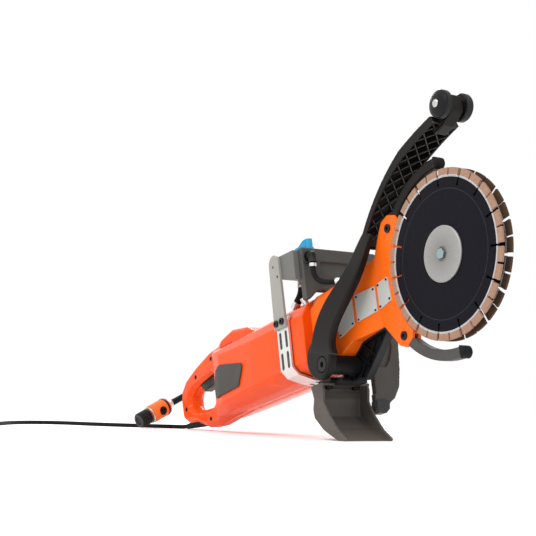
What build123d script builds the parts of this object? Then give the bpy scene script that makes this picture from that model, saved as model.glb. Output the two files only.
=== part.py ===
"""Electric twin-blade cut-and-break saw, standing on its scoop foot and its rear cable boot.

Machine coordinates are used throughout: u runs forward along the body, v runs up across it and
d runs out to the machine's right, all measured from the blade axle.  The whole machine is pitched
nose-up by PITCH about the foot, and the row's origin is the middle of the foot's flat pad.
"""
import os
from math import cos, pi, radians, sin, tan

from build123d import *

os.makedirs("parts", exist_ok=True)

# ---------------------------------------------------------------- driving dimensions (mm, degrees)
PITCH = 12.6            # nose-up attitude at rest
FOOT_U, FOOT_V = -236.5, -205.2   # middle of the foot's flat pad
BLADE_R = 115.0         # 230 mm blades
CORE_R = 105.0
CUT_HALF = 9.0          # half of the 18 mm cut width over both blades
CORE_IN, CORE_OUT = 6.3, 8.5      # blade core, distance from the middle plane
SECTORS = 15
FLANGE_R = 38.0
ARM_THIN = 5.6          # half thickness of the arm between the blades
ARM_FIN = 8.0           # half thickness of the arm beside the blades
SWEEP_R = 117.5         # radius cleared for the blades
DRIVE_U, DRIVE_V = -238.0, -36.0  # output shaft axis
PULLEY_R = 22.0
BELT_GAP = 0.4          # pulley to belt
BELT_T = 2.4
BELT_HALF = 2.5
GEAR_TEETH, PINION_TEETH = 34, 9
GEAR_MODULE = 2.0
BODY_FRONT, BODY_REAR = -273.0, -769.0
BODY_HALF = 60.0
WALL = 3.2
BAR_HALF = 18.0         # half width of the rear handle
BAR_FLAT = 9.0          # half width of its full section, before the bevels
SHIELD_U, SHIELD_T = -260.0, 11.0
PIVOT_U, PIVOT_V = -230.0, -96.0  # swing guard pivot
GUARD_HALF = 22.5
WHEEL_U, WHEEL_V, WHEEL_R = 50.0, 193.0, 19.5
TRIGGER_U, TRIGGER_V = -637.0, 2.0
LOCK_PLACE = (-668.0, 4.0)
CORD_D = 7.2
HOSE_D = 12.0

SIN, COS = sin(radians(PITCH)), cos(radians(PITCH))
AXLE_X = -(FOOT_U * COS - FOOT_V * SIN)
AXLE_Z = -(FOOT_U * SIN + FOOT_V * COS)
FORWARD = (COS, 0, SIN)
UPWARD = (-SIN, 0, COS)


def at(u, v, d=0.0):
    """World place of a point given in machine coordinates."""
    return Vector(AXLE_X + u * COS - v * SIN, -d, AXLE_Z + u * SIN + v * COS)


def side(d=0.0):
    """Plane of the machine's side view: local x is u, y is v, extruding goes to the right."""
    return Plane(origin=at(0, 0, d), x_dir=FORWARD, z_dir=(0, -1, 0))


def cross(u):
    """Plane across the machine: local x is d, y is v, extruding goes to the rear."""
    return Plane(origin=at(u, 0), x_dir=(0, -1, 0), z_dir=(-COS, 0, -SIN))


def deck(v):
    """Plane seen from above: local x is u, y is -d, extruding goes up."""
    return Plane(origin=at(0, v), x_dir=FORWARD, z_dir=UPWARD)


def save(part, name):
    part.label = name
    export_step(part, f"parts/{name}.step")


def slab(points, d_low, d_high, radius=0.0, corners=None):
    """Solid between two side planes, with the outline's corners rounded."""
    with BuildPart() as made:
        with BuildSketch(side(d_low)):
            with BuildLine():
                Polyline(*points, close=True)
            make_face()
            if radius:
                chosen = vertices() if corners is None else [vertices().sort_by_distance(c)[0] for c in corners]
                fillet(chosen, radius=radius)
        extrude(amount=d_high - d_low)
    return made.part


def disc(u, v, r, d_low, d_high):
    with BuildPart() as made:
        with BuildSketch(side(d_low)):
            with Locations((u, v)):
                Circle(r)
        extrude(amount=d_high - d_low)
    return made.part


def tube(points, radius, diameter, bore=0.0):
    """Round hose along straight runs joined by arcs of one radius (or a list of radii)."""
    with BuildPart() as made:
        with BuildLine() as route:
            FilletPolyline(*points, radius=radius)
        start = Plane(origin=route.line @ 0, z_dir=route.line % 0)
        with BuildSketch(start):
            Circle(diameter / 2)
            if bore:
                Circle(bore / 2, mode=Mode.SUBTRACT)
        sweep(path=route.line)
    return made.part


# ================================================================ motor housing and rear handle
BODY_SIDE = [
    (BODY_FRONT, 20), (-345, 21), (-440, 14), (-540, 17), (-572, 28), (-600, 35), (-649, 31), (-702, 17),
    (-745, 1), (-765, -17), (BODY_REAR, -36), (-766, -70), (-752, -78), (-722, -82), (-700, -91),
    (-676, -101), (-640, -104), (-600, -101), (-540, -97.6), (BODY_FRONT, -97.6),
]
BODY_PLAN = [(BODY_FRONT, 60), (-430, 60), (-545, 56), (-572, 50), (-604, 34), (-638, 12)]
BODY_CROSS = [(0, 30), (20, 24), (50, 6), (60, -10), (60, -79), (52, -88), (28, -95), (0, -99)]
HAND_HOLE = [(-640, -11), (-640, -63), (-652, -69), (-690, -67), (-722, -60), (-737, -50), (-737, -35), (-721, -24)]


def mirrored(points):
    """Close a half outline over its first coordinate's mirror."""
    return points + [(x, -y) for x, y in reversed(points)]


def mirrored_across(points):
    return points + [(-x, y) for x, y in reversed(points) if x > 0]


def side_outline(inset=0.0):
    with BuildSketch(side(0)) as outline:
        with BuildLine():
            Polyline(*BODY_SIDE, close=True)
        make_face()
        fillet(vertices().group_by(Axis.X)[0], radius=12)
        if inset:
            offset(amount=-inset, kind=Kind.INTERSECTION)
    return outline.sketch


def hole_outline(inset=0.0):
    with BuildSketch(side(0)) as outline:
        with BuildLine():
            Polyline(*HAND_HOLE, close=True)
        make_face()
        fillet(vertices(), radius=7)
        if inset:
            offset(amount=inset, kind=Kind.ARC)
    return outline.sketch


def wide_form(inset):
    """Motor housing's form, or its cavity when inset is positive: three outlines intersected."""
    with BuildPart() as form:
        extrude(side_outline(inset), amount=80, both=True)
        with BuildSketch(deck(-150)):
            with BuildLine():
                Polyline(*mirrored(BODY_PLAN), close=True)
            make_face()
            if inset:
                offset(amount=-inset, kind=Kind.INTERSECTION)
        extrude(amount=220, mode=Mode.INTERSECT)
        with BuildSketch(cross(BODY_FRONT + 30)):
            with BuildLine():
                Polyline(*mirrored_across(BODY_CROSS), close=True)
            make_face()
            if inset:
                offset(amount=-inset, kind=Kind.INTERSECTION)
        extrude(amount=600, mode=Mode.INTERSECT)
    return form.part


def bar_form():
    """Side outline as a bar with bevelled sides, round the hand hole."""
    with BuildPart() as form:
        ring = side_outline() - hole_outline()
        extrude(ring, amount=BAR_FLAT, both=True)
        for sign in (1, -1):
            face = ring.moved(Location((0, -sign * BAR_FLAT, 0)))
            extrude(face, amount=BAR_HALF - BAR_FLAT, dir=(0, -sign, 0), taper=38)
    return form.part


outer_body = wide_form(0) + bar_form()

HANDLE_SCREWS = [(-641, 15), (-703, -4), (-748, -54), (-658, -89), (-627, -75)]
TRIGGER_SLOT = [(-705, -40), (-705, -4), (-690, 6), (-630, 12), (-630, -40)]
HUMP = [(-594, 26), (-576, 38), (-548, 43), (-500, 35), (-478, 24), (-452, 10), (-500, 4), (-585, 10)]

with BuildPart() as housing_whole:
    add(outer_body)
    add(wide_form(WALL), mode=Mode.SUBTRACT)
    bar_cavity = side_outline(7) - hole_outline(7)
    extrude(bar_cavity, amount=BAR_HALF - 5, both=True, mode=Mode.SUBTRACT)
    add(slab(TRIGGER_SLOT, -10, 10), mode=Mode.SUBTRACT)
    for d_low, d_high in ((9.6, 15), (-15, -9.6)):                # bosses for the trigger's trunnions
        add(disc(TRIGGER_U, TRIGGER_V, 6, d_low, d_high))
    add(disc(TRIGGER_U, TRIGGER_V, 2.62, -12.9, 12.9), mode=Mode.SUBTRACT)
    add(disc(*LOCK_PLACE, 6.5, -40, 0), mode=Mode.SUBTRACT)      # lock-out button's hole
    with BuildSketch(cross(BODY_FRONT + 10)):                     # front opening for the gear case
        with Locations((0, DRIVE_V)):
            Circle(37)
    extrude(amount=30, mode=Mode.SUBTRACT)
    with BuildSketch(side(0)):                                    # air slots over the fan
        with GridLocations(11, 1, 6, 1):
            with Locations((-352, -40)):
                SlotCenterToCenter(34, 4.5, rotation=90)
    extrude(amount=-90, mode=Mode.SUBTRACT)
    for u, v in HANDLE_SCREWS:
        add(disc(u, v, 3.9, 14.5, 30), mode=Mode.SUBTRACT)
        add(disc(u, v, 1.8, -12, 30), mode=Mode.SUBTRACT)

for name, keep in (("housing_right", Keep.TOP), ("housing_left", Keep.BOTTOM)):
    with BuildPart() as half:
        add(housing_whole.part)
        split(bisect_by=side(0), keep=keep)
    save(half.part, name)
    print(name, half.part.volume, len(half.part.solids()))

with BuildPart() as hump_cover:
    add(slab(HUMP, -26, 26, 5, [at(-576, 38, -26), at(-548, 43, -26), at(-500, 35, -26)]))
    flank_edges = hump_cover.edges().filter_by(lambda e: abs(abs(e.center().Y) - 26) < 0.1)
    chamfer([e for e in flank_edges if e.center().Z > at(-540, 24).Z], length=5)
    add(outer_body, mode=Mode.SUBTRACT)
save(hump_cover.part, "hump_cover")

# ---------------------------------------------------------------- brush inspection covers
BRUSH_COVER = [(-571, -50), (-557, -27), (-538, -22), (-466, -36), (-460, -42), (-478, -72), (-566, -74)]
for name, sign in (("brush_cover_right", 1), ("brush_cover_left", -1)):
    low, high = (40, 62) if sign > 0 else (-62, -40)
    with BuildPart() as cover:
        add(slab(BRUSH_COVER, low, high, 4))
        with BuildSketch(deck(-120)):                             # follows the tapering side
            with BuildLine():
                Polyline((-574, -sign * 52.8), (-546, -sign * 59.2), (-430, -sign * 63.2), (-430, -sign * 60.2),
                         (-545, -sign * 56.2), (-572, -sign * 50.2), (-574, -sign * 49.4), close=True)
            make_face()
        extrude(amount=120, mode=Mode.INTERSECT)
    save(cover.part, name)


# ================================================================ arm
FIN_SIDE = [
    (-150, 42), (-139, 64), (-124, 88), (-108, 94), (-90, 88), (-80, 60), (-80, -60), (-88, -92), (-103, -101),
    (-117, -95), (-146, -60), (-203, -67), (-230, -85), (BODY_FRONT, -92), (BODY_FRONT, 20), (-240, 21), (-178, 36),
]
ARM_PLAN = [(-60, ARM_FIN), (-150, ARM_FIN), (-192, 20), (BODY_FRONT, 45)]
ARM_CROSS = [(0, 100), (8.6, 100), (9, 58), (20, 32), (34, 16), (46, -4), (46, -104), (0, -104)]
TONGUE = [(-110, 74), (4, 33), (4, -33), (-110, -76)]
FIN_SCREWS = [(-109, 74), (-104, -84)]


def arm_form(inset):
    with BuildPart() as form:
        with BuildSketch(side(0)) as outline:
            with BuildLine():
                Polyline(*FIN_SIDE, close=True)
            make_face()
            fillet(vertices().sort_by_distance(at(-100, 95))[0:3], radius=5)
            fillet(vertices().sort_by_distance(at(-103, -101))[0:3], radius=5)
            if inset:
                offset(amount=-inset, kind=Kind.INTERSECTION)
        extrude(amount=60, both=True)
        with BuildSketch(deck(-120)):
            with BuildLine():
                Polyline(*mirrored(ARM_PLAN), close=True)
            make_face()
            if inset:
                offset(amount=-inset, kind=Kind.INTERSECTION)
        extrude(amount=240, mode=Mode.INTERSECT)
        with BuildSketch(cross(-50)):
            with BuildLine():
                Polyline(*mirrored_across(ARM_CROSS), close=True)
            make_face()
            if inset:
                offset(amount=-inset, kind=Kind.INTERSECTION)
        extrude(amount=300, mode=Mode.INTERSECT)
    return form.part


def belt_slot(radius, half):
    """Racetrack round the drive and blade pulleys."""
    with BuildPart() as made:
        with BuildSketch(side(-half)):
            with Locations((0, 0), (DRIVE_U, DRIVE_V)):
                Circle(radius)
            make_hull()
        extrude(amount=2 * half)
    return made.part


arm_cavity = arm_form(4) & slab([(-300, -120), (-300, 60), (-176, 60), (-176, -120)], -50, 50)
with BuildPart() as gear_opening:
    with BuildSketch(cross(-262)):
        with Locations((0, DRIVE_V)):
            Circle(34)
    extrude(amount=14)
with BuildPart() as arm_whole:
    add(arm_form(0))
    add(disc(0, 0, SWEEP_R, -40, -ARM_THIN), mode=Mode.SUBTRACT)
    add(disc(0, 0, SWEEP_R, ARM_THIN, 40), mode=Mode.SUBTRACT)
    with BuildSketch(side(-ARM_THIN)):                            # thin tongue between the blades
        with BuildLine():
            Polyline(*TONGUE, close=True)
        make_face()
        Circle(33)
    extrude(amount=2 * ARM_THIN)
    add(belt_slot(PULLEY_R + BELT_T + 2.2, 3.0), mode=Mode.SUBTRACT)
    add(arm_cavity, mode=Mode.SUBTRACT)
    for d_low, d_high in ((-60, -22.3), (22.3, 60)):              # output shaft's bearing bosses
        add(disc(DRIVE_U, DRIVE_V, 19, d_low, d_high) & arm_form(0))
    add(disc(DRIVE_U, DRIVE_V, 15.0, -27.7, 27.7), mode=Mode.SUBTRACT)
    add(gear_opening.part, mode=Mode.SUBTRACT)
    add(disc(0, 0, 17.0, -6, 6), mode=Mode.SUBTRACT)              # blade spindle's bearing seats
    for u, v in FIN_SCREWS:                                       # slots for the hoops' tongues
        add(slab([(u - 26, v - 26), (u - 26, v + 26), (u + 26, v + 26), (u + 26, v - 26)], -3.2, 3.2)
            - disc(0, 0, 122, -4, 4), mode=Mode.SUBTRACT)
        add(disc(u, v, 3.1, -9, 9), mode=Mode.SUBTRACT)
for name, keep in (("arm_right", Keep.TOP), ("arm_left", Keep.BOTTOM)):
    with BuildPart() as half:
        add(arm_whole.part)
        split(bisect_by=side(0), keep=keep)
    save(half.part, name)
    print(name, half.part.volume, len(half.part.solids()))

# ---------------------------------------------------------------- blade guard hoops
HOOP_UPPER = (121.0, 136.0, 88.0, 150.0)       # inner and outer radius, end angles
HOOP_LOWER = (126.0, 141.0, 218.0, 271.0)


def arc_band(r_in, r_out, start, end, d_low, d_high):
    with BuildPart() as made:
        with BuildSketch(side(d_low)):
            with BuildLine():
                outer = CenterArc((0, 0), r_out, start, end - start)
                inner = CenterArc((0, 0), r_in, start, end - start)
                Line(outer @ 0, inner @ 0)
                Line(outer @ 1, inner @ 1)
            make_face()
        extrude(amount=d_high - d_low)
    return made.part


fin_clear = slab([(-170, -118), (-170, 40), (-150, 42), (-139.5, 64.5), (-124.5, 88.5), (-108, 94.5), (-89, 88.5),
                  (-70, 70), (-70, -70), (-87, -92.5), (-103, -101.5), (-117.5, -95.5), (-140, -72)], -20, 20)
for name, hoop, (u, v) in (("hoop_upper", HOOP_UPPER, FIN_SCREWS[0]), ("hoop_lower", HOOP_LOWER, FIN_SCREWS[1])):
    r_in, r_out, start, end = hoop
    with BuildPart() as made:
        add(arc_band(r_in, r_out, start, end, -8, 8))
        chamfer(made.edges().filter_by(lambda e: abs(abs(e.center().Y) - 8) < 0.01 and e.geom_type == GeomType.CIRCLE),
                length=2.2)
        add(fin_clear, mode=Mode.SUBTRACT)
        add(arc_band(r_in + 1.5, r_out - 1.5, start + 5, end - 1, -2.9, 2.9))
        add(disc(u, v, 3.1, -9, 9), mode=Mode.SUBTRACT)
    save(made.part, name)
    print(name, len(made.part.solids()), made.part.is_valid)

with BuildPart() as hoop_bumpers:                                 # round rubber tips
    for (r_in, r_out, start, end), tip in ((HOOP_UPPER, HOOP_UPPER[2]), (HOOP_LOWER, HOOP_LOWER[3])):
        r_mid = (r_in + r_out) / 2
        add(disc(r_mid * cos(radians(tip)), r_mid * sin(radians(tip)), 8.6, -9, 9)
            - arc_band(r_in - 2, r_out + 2, start, end, -10, 10))
    chamfer(hoop_bumpers.edges().filter_by(lambda e: abs(abs(e.center().Y) - 9) < 0.01), length=2)
save(hoop_bumpers.part, "hoop_bumpers")

with BuildPart() as hoop_screws:
    for u, v in FIN_SCREWS:
        add(disc(u, v, 3.0, -8, 8))
        with BuildSketch(side(8.0)):
            with Locations((u, v)):
                Circle(6.2)
                RegularPolygon(3.0, 6, mode=Mode.SUBTRACT)
        extrude(amount=2.2)
        add(disc(u, v, 5.2, -10.5, -8.0))
save(hoop_screws.part, "hoop_screws")

# ---------------------------------------------------------------- aluminium cover plates on the arm
PLATE_FRONT = [(-149, 4), (-123, 7), (-120, -28), (-149, -34)]


def flare_plane(u0, d0, u1, d1, sign=1):
    """Plane lying on one facet of the arm's flank: local x runs rearward along it, y is -v."""
    return Plane(origin=at(u0, 0, sign * d0), x_dir=at(u1, 0, sign * d1) - at(u0, 0, sign * d0),
                 z_dir=(at(u1, 0, sign * d1) - at(u0, 0, sign * d0)).cross(Vector(*UPWARD)) * -sign)


FACETS = [
    (flare_plane(-152, 8.6, -192, 20), [(1.5, -2), (40, 2), (40, 42), (1.5, 35)]),
    (flare_plane(-194, 20.5, -262, 41.5), [(2, 3), (32, 6), (32, 58), (2, 44)]),
]
plate_screw_places = []
with BuildPart() as arm_plates:
    with BuildSketch(side(ARM_FIN + 0.1)):
        with BuildLine():
            Polyline(*PLATE_FRONT, close=True)
        make_face()
        fillet(vertices(), radius=1.5)
    extrude(amount=1.6)
    for facet, outline in FACETS:
        with BuildSketch(facet.offset(0.15)):
            with BuildLine():
                Polyline(*outline, close=True)
            make_face()
            fillet(vertices(), radius=1.5)
        extrude(amount=1.6)
print("arm plates", [s.volume for s in arm_plates.part.solids()], (arm_plates.part & arm_whole.part))
save(arm_plates.part, "arm_cover_plates")


# ================================================================ foot bracket, scoop foot, shield
BRACKET = [(-141, -68), (-147, -60.4), (-203, -67.4), (-230, -85.4), (-252, -87.5), (-262, -97), (-262, -112),
           (-206, -122)]
BASE_PLATE = [(-262.5, -108), (-242, -110.5), (-242, -118), (-262.5, -118)]
BASE_TONGUE = [(-292, -106.6), (-260, -106.6), (-260, -112.6), (-292, -112.6)]
BRACKET_HALF = 6.0

with BuildPart() as foot_bracket:
    with BuildSketch(side(-1.5)):
        with BuildLine():
            Polyline(*BRACKET, close=True)
        make_face()
    extrude(amount=3)
    with BuildSketch(side(-BRACKET_HALF)):                        # outer rim
        with BuildLine():
            Polyline(*BRACKET, close=True)
        make_face()
        offset(amount=-3.5, kind=Kind.INTERSECTION, mode=Mode.SUBTRACT)
    extrude(amount=2 * BRACKET_HALF)
    with BuildSketch(side(-BRACKET_HALF + 0.6)):                  # crossing ribs on both sides
        for start, end in (((-150, -70), (-206, -116)), ((-182, -72), (-232, -112)), ((-200, -72), (-176, -104)),
                           ((-222, -86), (-192, -118)), ((-244, -92), (-218, -120)), ((-160, -70), (-162, -90))):
            mid_u, mid_v = (start[0] + end[0]) / 2, (start[1] + end[1]) / 2
            run, rise = end[0] - start[0], end[1] - start[1]
            with Locations(Location((mid_u, mid_v, 0), (0, 0, 1), 0)):
                Rectangle((run ** 2 + rise ** 2) ** 0.5, 1.8,
                          rotation=Vector(1, 0, 0).get_signed_angle(Vector(run, rise, 0)))
        with BuildLine(mode=Mode.PRIVATE) as rim:
            Polyline(*BRACKET, close=True)
        add(make_face(rim.line, mode=Mode.PRIVATE), mode=Mode.INTERSECT)
    extrude(amount=2 * BRACKET_HALF - 1.2)
    for outline, half_width in ((BASE_PLATE, 22), (BASE_TONGUE, 31)):
        add(slab(outline, -half_width, half_width))
    for d in (-24, 24):                                           # scoop bolts
        with BuildSketch(deck(-118)):
            with Locations((-275, -d)):
                Circle(3.2)
        extrude(amount=20, mode=Mode.SUBTRACT)
    add(disc(PIVOT_U, PIVOT_V, 14, -BRACKET_HALF, 50.5))          # swing guard's pivot boss
    add(disc(PIVOT_U, PIVOT_V, 5.0, 20, 51), mode=Mode.SUBTRACT)
    add(arm_form(0), mode=Mode.SUBTRACT)
save(foot_bracket.part, "foot_bracket")
print("bracket", [s.volume for s in foot_bracket.part.solids()])

SCOOP_BACK = [(-297, -113), (-292, -133), (-297, -147), (-296, -161), (-275, -183), (-241, -205), (-228, -213)]
SCOOP_FRONT = [(-223, -204), (-241, -187), (-257, -164), (-269, -140), (-265, -124), (-267, -113)]
SCOOP_HALF = 42.0
SCOOP_FLOOR = [(-292.5, -108), (-287.5, -134), (-292, -147), (-291, -159), (-272, -179), (-239, -200.5), (-215, -216),
               (-180, -200), (-240, -108)]

with BuildPart() as scoop:
    add(slab(SCOOP_BACK + SCOOP_FRONT, -SCOOP_HALF, SCOOP_HALF))
    add(slab(SCOOP_FLOOR, -SCOOP_HALF + 4, SCOOP_HALF - 4), mode=Mode.SUBTRACT)
    add(slab([(-297, -113), (-264.4, -113), (-264.4, -117), (-297, -117)], -SCOOP_HALF, SCOOP_HALF))
    with BuildSketch(Plane.XY):                                   # ground flat on the pad
        Rectangle(400, 400)
    extrude(amount=-60, mode=Mode.SUBTRACT)
    for d in (-24, 24):
        with BuildSketch(deck(-125)):
            with Locations((-275, -d)):
                Circle(3.2)
        extrude(amount=20, mode=Mode.SUBTRACT)
save(scoop.part, "scoop_foot")
print("scoop", len(scoop.part.solids()), scoop.part.is_valid, scoop.part.bounding_box())

SHIELD = [(57, 93), (57, 12), (49.5, 12), (49.5, -10), (-49.5, -10), (-47, -139), (-46, -157), (-63, -157),
          (-71, -152), (-74, -143), (-84, -136), (-95, -118), (-100, -91), (-104, -47), (-104, 68), (-82, 93)]
SHIELD_WINDOW = [(49.5, 12), (49.5, -130), (-49.5, -130), (-49.5, -6), (-49.5, 12), (-34, 26), (34, 26)]
RECESS = [(26, 72), (26, 32), (-40, 32), (-55, 18), (-55, -88), (-74, -88), (-82, -78), (-89, -58), (-91, 60), (-80, 73)]

with BuildPart() as shield:
    with BuildSketch(cross(SHIELD_U)):
        with BuildLine():
            Polyline(*SHIELD, close=True)
        make_face()
        fillet(vertices().sort_by_distance(at(SHIELD_U, 68, -104))[0:2], radius=12)
        with BuildLine(mode=Mode.PRIVATE) as window:
            Polyline(*SHIELD_WINDOW, close=True)
        add(make_face(window.line, mode=Mode.PRIVATE), mode=Mode.SUBTRACT)
    extrude(amount=SHIELD_T)
    with BuildSketch(cross(SHIELD_U)):                            # recessed web in front
        with BuildLine():
            Polyline(*RECESS, close=True)
        make_face()
        fillet(vertices(), radius=4)
    extrude(amount=4.5, mode=Mode.SUBTRACT)
print("shield", len(shield.part.solids()), shield.part.is_valid)
save(shield.part, "splash_shield")

with BuildPart() as shield_cap:                                   # lower corner's wear cap
    with BuildSketch(cross(SHIELD_U + 2.2)):
        with BuildLine():
            Polyline((-47.5, -140), (-46.5, -156), (-50, -159.5), (-62, -159.5), (-69.5, -153), (-71, -142), (-62, -138),
                     close=True)
        make_face()
        fillet(vertices(), radius=1.5)
    extrude(amount=SHIELD_T + 3.4)
    add(shield.part, mode=Mode.SUBTRACT)
save(shield_cap.part, "shield_cap")
print("cap", len(shield_cap.part.solids()))

# ================================================================ swing guard
LIMB = [  # centre u, v, d, width across the limb in the side view, thickness
    (-229, -80, 58.0, 62, 12), (-221, -52, 58.0, 47, 12), (-197, -18, 52.0, 42, 12), (-177, 4, 44.5, 36, 13),
    (-161, 30, 34.0, 30, 13), (-153, 52, 25.5, 26, 12), (-143, 76, 18.0, 20, 8.6),
]
LOBE = (-238, -85, 31)                         # centre and radius of the lobe round the pivot
TRAY = ([(-163, 62), (-108, 123.5), (-45, 165), (-8, 176), (30, 184.5)],               # back, as two arcs
        [(35, 173), (-5, 163.5), (-43, 151), (-107, 112), (-154, 57)])               # free edges
TRAY_ROOM = ([(-159.5, 62.5), (-106.1, 121.1), (-43.1, 162.6), (-9, 173.4), (27.5, 181)],
             [(33, 166), (-1.8, 158.5), (-39.8, 146), (-99.8, 103.5), (-145, 54)])
TRAY_WALL = 3.0
RIB_PITCH = 22.0
HEAD = [(10, 178), (38, 204), (62, 204), (62, 182), (40, 168), (20, 164)]


def station(i):
    """Section plane of the limb at station i, square to its route."""
    u, v, d = LIMB[i][:3]
    before = LIMB[max(i - 1, 0)]
    after = LIMB[min(i + 1, len(LIMB) - 1)]
    along = at(*after[:3]) - at(*before[:3])
    across = along.cross(Vector(0, -1, 0))
    return Plane(origin=at(u, v, d), x_dir=across, z_dir=along)


with BuildPart() as limb:
    for i, (_, _, _, width, thick) in enumerate(LIMB):
        with BuildSketch(station(i)):
            RectangleRounded(width, thick, 3.5)
    loft()
print("limb", limb.part.volume, limb.part.is_valid)

def channel(back, edge):
    """Curved band in the side view, each side made of two arcs."""
    with BuildSketch(side(0)) as outline:
        with BuildLine():
            for arc in (back[:3], back[2:], edge[:3], edge[2:]):
                ThreePointArc(*arc)
            Line(back[-1], edge[0])
            Line(edge[-1], back[0])
        make_face()
    return outline.sketch


RIB_PLANE = Plane(origin=at(-10, 163), x_dir=at(0.9, 0.43) - at(0, 0), z_dir=at(-0.43, 0.9) - at(0, 0))

with BuildPart() as tray_pockets:                                 # open towards the blades, with diamond ribs
    extrude(channel(*TRAY_ROOM), amount=GUARD_HALF - TRAY_WALL, both=True)
    with BuildSketch(RIB_PLANE.offset(-60)):
        for turn in (45, -45):
            for i in range(-7, 4):
                with Locations((i * RIB_PITCH, 0)):
                    Rectangle(90, 1.8, rotation=turn)
    extrude(amount=120, mode=Mode.SUBTRACT)

with BuildPart() as swing_guard:
    extrude(channel(*TRAY), amount=GUARD_HALF, both=True)
    add(tray_pockets.part, mode=Mode.SUBTRACT)
    add(limb.part)
    with BuildSketch(side(51.6)):                                   # pivot lobe
        with Locations(LOBE[:2]):
            Circle(LOBE[2])
    extrude(amount=9.6)
    with BuildSketch(side(61.2)):
        with Locations(LOBE[:2]):
            Circle(LOBE[2])
    extrude(amount=2.5, taper=45)
    add(slab(HEAD, -9.5, 9.5, 8, [at(38, 204, -9.5), at(62, 204, -9.5)]))        # head that carries the rollers
    for d_low, d_high in ((9.5, 30), (-30, -9.5)):                # room for the rollers beside the head
        add(disc(WHEEL_U, WHEEL_V, WHEEL_R + 1.2, d_low, d_high), mode=Mode.SUBTRACT)
    add(disc(WHEEL_U, WHEEL_V, 4.05, -20, 20), mode=Mode.SUBTRACT)
    with BuildSketch(side(40)):                                   # pivot bore and its counterbore
        with Locations((PIVOT_U, PIVOT_V)):
            Circle(7.05)
    extrude(amount=40, mode=Mode.SUBTRACT)
    with BuildSketch(side(58.5)):
        with Locations((PIVOT_U, PIVOT_V)):
            Circle(12)
    extrude(amount=20, mode=Mode.SUBTRACT)
save(swing_guard.part, "swing_guard")
print("guard", len(swing_guard.part.solids()), swing_guard.part.is_valid)

with BuildPart() as pivot_bolt:                                   # shoulder bolt in the bracket's boss
    add(disc(PIVOT_U, PIVOT_V, 5.0, 30, 51))
    add(disc(PIVOT_U, PIVOT_V, 7.0, 50.8, 59.3))
    add(disc(PIVOT_U, PIVOT_V, 10.5, 59.3, 63.5))
    with BuildSketch(side(60.5)):
        with Locations((PIVOT_U, PIVOT_V)):
            RegularPolygon(4.6, 6)
    extrude(amount=5, mode=Mode.SUBTRACT)
save(pivot_bolt.part, "guard_pivot_bolt")

with BuildPart() as wheel_axle:
    add(disc(WHEEL_U, WHEEL_V, 4.0, -27.2, 27.2))
    add(disc(WHEEL_U, WHEEL_V, 5.4, 27.2, 29.2))
    add(disc(WHEEL_U, WHEEL_V, 5.4, -29.2, -27.2))
    chamfer(wheel_axle.faces().sort_by(Axis.Y)[0].edges(), length=1.2)
    chamfer(wheel_axle.faces().sort_by(Axis.Y)[-1].edges(), length=1.2)
save(wheel_axle.part, "wheel_axle")

for name, sign in (("wheel_right", 1), ("wheel_left", -1)):
    with BuildPart() as wheel:
        with BuildSketch(Plane(origin=at(WHEEL_U, WHEEL_V), x_dir=(0, -sign, 0), z_dir=FORWARD)):
            with BuildLine():
                Polyline((10.0, 4.06), (10.0, 8.5), (15, 9.5), (15, 15.5), (13.2, 16.5), (13.2, 18.3),
                         (14.4, WHEEL_R), (21.0, WHEEL_R), (23.0, 18.4), (24.8, 14.8), (26.0, 10.5), (26.6, 6.5),
                         (26.6, 4.06), close=True)
            make_face()
        revolve(axis=Axis(at(WHEEL_U, WHEEL_V), (0, 1, 0)))
    save(wheel.part, name)
print("wheel", wheel.part.is_valid, wheel.part.bounding_box())

# ================================================================ blades and their spindle
SLOT_PITCH = 360 / SECTORS


with BuildSketch() as segment_pair:                               # the two segments of one sector
    for start in (1.3, SLOT_PITCH / 2 + 0.7):
        with BuildLine():
            outer = CenterArc((0, 0), BLADE_R, start - SLOT_PITCH / 2, SLOT_PITCH / 2 - 2.0)
            inner = CenterArc((0, 0), CORE_R - 1.0, start - SLOT_PITCH / 2, SLOT_PITCH / 2 - 2.0)
            Line(outer @ 0, inner @ 0)
            Line(outer @ 1, inner @ 1)
        make_face()


def blade(d_core_in, d_core_out, d_seg_in, d_seg_out):
    """Slotted steel core with two segments on each sector, made as one welded piece."""
    with BuildPart() as made:
        with BuildSketch(side(d_core_in)):
            Circle(CORE_R)
            Circle(10.03, mode=Mode.SUBTRACT)
            with PolarLocations(100, SECTORS, start_angle=SLOT_PITCH / 2):
                Rectangle(12, 2.8, mode=Mode.SUBTRACT)
            with PolarLocations(93.6, SECTORS, start_angle=SLOT_PITCH / 2):
                Circle(2.2, mode=Mode.SUBTRACT)
        extrude(amount=d_core_out - d_core_in)
        with BuildSketch(side(d_seg_in)):
            with PolarLocations(0, SECTORS):
                add(segment_pair.sketch)
        extrude(amount=d_seg_out - d_seg_in)
    return made.part


blade_right = blade(CORE_IN, CORE_OUT, CORE_IN - 0.5, CUT_HALF)
save(blade_right, "blade_right")
blade_left = mirror(blade_right, about=Plane.XZ).rotate(Axis(at(0, 0), (0, 1, 0)), SLOT_PITCH / 4)
save(blade_left, "blade_left")
print("blade", len(blade_right.solids()), blade_right.volume, blade_right.is_valid)

with BuildPart() as blade_spindle:                                # pulley, shoulders and pilots in one
    add(disc(0, 0, PULLEY_R, -BELT_HALF - 0.1, BELT_HALF + 0.1))
    for groove in (-1.5, 0, 1.5):
        add(disc(0, 0, PULLEY_R + 1, groove - 0.35, groove + 0.35) - disc(0, 0, PULLEY_R - 0.8, -3, 3),
            mode=Mode.SUBTRACT)
    add(disc(0, 0, 13.0, -CORE_IN, CORE_IN))
    add(disc(0, 0, 10.0, -CORE_OUT, CORE_OUT))
    add(disc(0, 0, 4.0, -12, 12), mode=Mode.SUBTRACT)
save(blade_spindle.part, "blade_spindle")

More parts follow.
